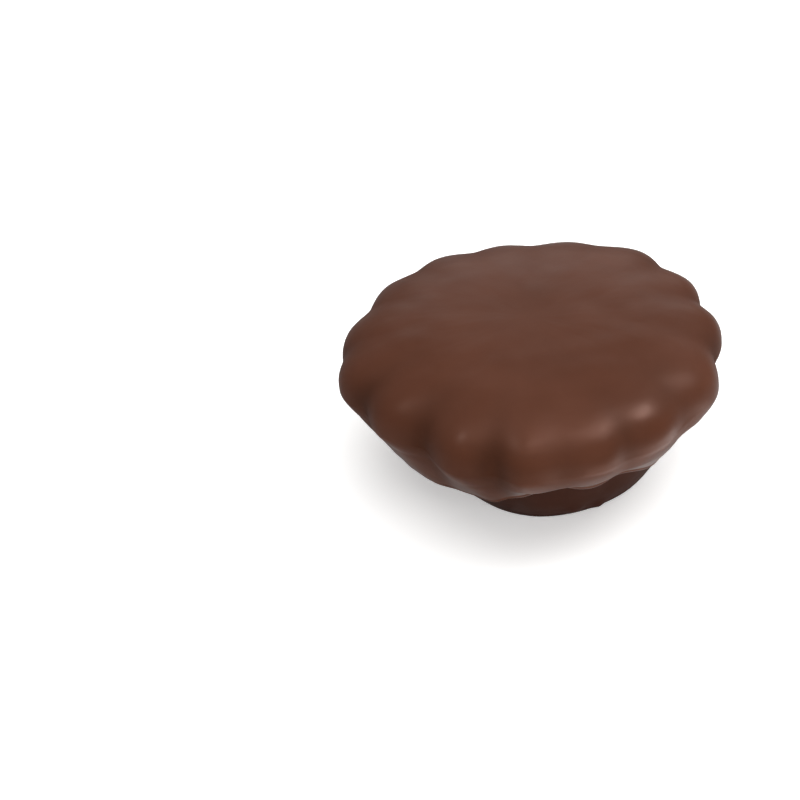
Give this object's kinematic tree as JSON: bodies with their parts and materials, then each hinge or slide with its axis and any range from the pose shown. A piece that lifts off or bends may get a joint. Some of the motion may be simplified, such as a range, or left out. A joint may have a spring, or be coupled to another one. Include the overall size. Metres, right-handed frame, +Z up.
{
  "type": "chocolate-coated biscuit",
  "caption": "Round chocolate-coated biscuit with a gently domed top, a scalloped rim, sides that draw in to a wavy lip, and a smaller flat foot; a sweet snack that stands by itself.",
  "frame": {"origin": "on the flat sole, below the middle of the scalloped rim", "axes": "+Z up from the sole through the domed top, -Y towards the side that the picture shows in front, +X to that side's right"},
  "size_m": [0.0625, 0.0627, 0.026],
  "materials": {
    "chocolate_coat": "satin"
  },
  "bodies": {
    "root": {"coated_biscuit": "chocolate_coat"}
  },
  "joints": []
}
